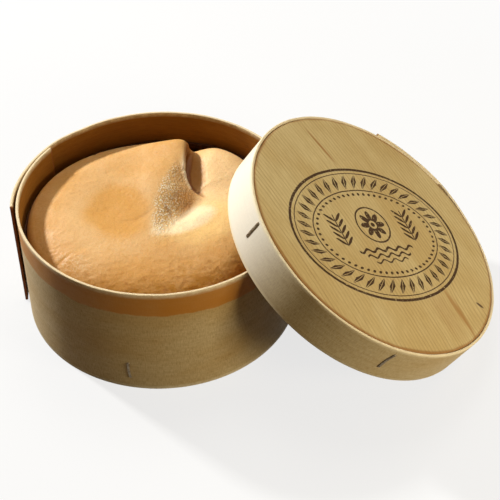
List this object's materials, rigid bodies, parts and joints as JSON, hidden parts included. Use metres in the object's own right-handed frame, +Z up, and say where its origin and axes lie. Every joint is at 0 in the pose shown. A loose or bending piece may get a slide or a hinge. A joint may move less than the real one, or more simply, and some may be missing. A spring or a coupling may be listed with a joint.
{
  "type": "vacherin cheese",
  "caption": "Soft round cheese with a folded washed rind in a bent spruce box, its loose lid leaning on the rim.",
  "frame": {"origin": "centre of the box's underside, on the table", "axes": "+Z up; the lid leans towards +X, in the plane through the box's axis; +Y completes a right-handed frame"},
  "size_m": [0.2078, 0.1251, 0.08],
  "materials": {
    "rind": "soft washed rind, velvety bloom in the fold",
    "bark": "damp inner bark",
    "veneer": "thin bent spruce veneer, unvarnished",
    "board": "sawn spruce board, unvarnished"
  },
  "bodies": {
    "root": {"cheese": "rind", "bark_strap": "bark", "box_wall": "veneer", "box_base": "board", "lid_hoop": "veneer", "lid_panel": "board"}
  },
  "joints": []
}
